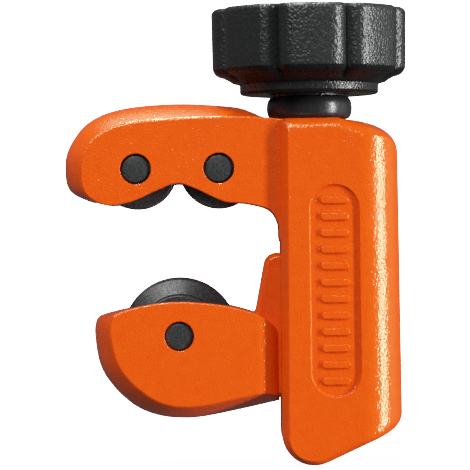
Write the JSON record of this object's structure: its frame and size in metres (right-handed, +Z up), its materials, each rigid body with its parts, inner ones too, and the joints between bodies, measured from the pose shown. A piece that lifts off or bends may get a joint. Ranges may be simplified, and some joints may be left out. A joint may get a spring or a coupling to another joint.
{
  "type": "pipe cutter",
  "caption": "Compact screw-fed pipe cutter: C-shaped frame with rollers on its arm, a sliding jaw that carries the cutting wheel, and a lobed feed knob.",
  "frame": {"origin": "centre of the bounding box's base; the tool stands upright with its feed screw vertical and its knob on top", "axes": "+X from the jaw's open side towards the grip, +Y to the back of the tool, +Z up along the feed screw"},
  "size_m": [0.0518, 0.0294, 0.0685],
  "materials": {
    "orange_paint": "semi-gloss orange powder coat with fine orange peel over a die casting",
    "black_oxide_steel": "satin black oxide on hardened steel",
    "zinc_plated_steel": "zinc plated",
    "black_knob": "finely grained, slightly glossy"
  },
  "bodies": {
    "frame": {"frame": "orange_paint", "roller_pin_left": "black_oxide_steel", "roller_pin_right": "black_oxide_steel"},
    "feed_knob": {"knob": "black_knob", "knob_cap": "black_knob", "thrust_collar": "black_knob", "feed_screw": "zinc_plated_steel", "thrust_washer": "zinc_plated_steel", "screw_retaining_clip": "zinc_plated_steel", "slide_stop_clip": "zinc_plated_steel"},
    "slide": {"slide": "orange_paint", "wheel_pin": "black_oxide_steel"},
    "cutter_wheel": {"cutter_wheel": "black_oxide_steel"},
    "roller_left": {"roller_left": "black_oxide_steel"},
    "roller_right": {"roller_right": "black_oxide_steel"}
  },
  "joints": [
    {"name": "knob_turn", "type": "hinge", "parent": "frame", "child": "feed_knob", "pos_m": [0.0112, 0, 0.0518], "axis": [0, 0, -1], "range_deg": [-1800, 4050]},
    {"name": "slide_travel", "type": "slide", "parent": "frame", "child": "slide", "axis": [0, 0, 1], "range_m": [-0.005, 0.01125]},
    {"name": "wheel_spin", "type": "hinge", "parent": "slide", "child": "cutter_wheel", "pos_m": [-0.0088, 0, 0.0195], "axis": [0, 1, 0], "continuous": true},
    {"name": "roller_left_spin", "type": "hinge", "parent": "frame", "child": "roller_left", "pos_m": [-0.015, 0, 0.0445], "axis": [0, 1, 0], "continuous": true},
    {"name": "roller_right_spin", "type": "hinge", "parent": "frame", "child": "roller_right", "pos_m": [-0.0026, 0, 0.0445], "axis": [0, 1, 0], "continuous": true}
  ],
  "couplings": [
    {"joint": "knob_turn", "follows": "slide_travel", "rad_per_m": 6283.2}
  ]
}
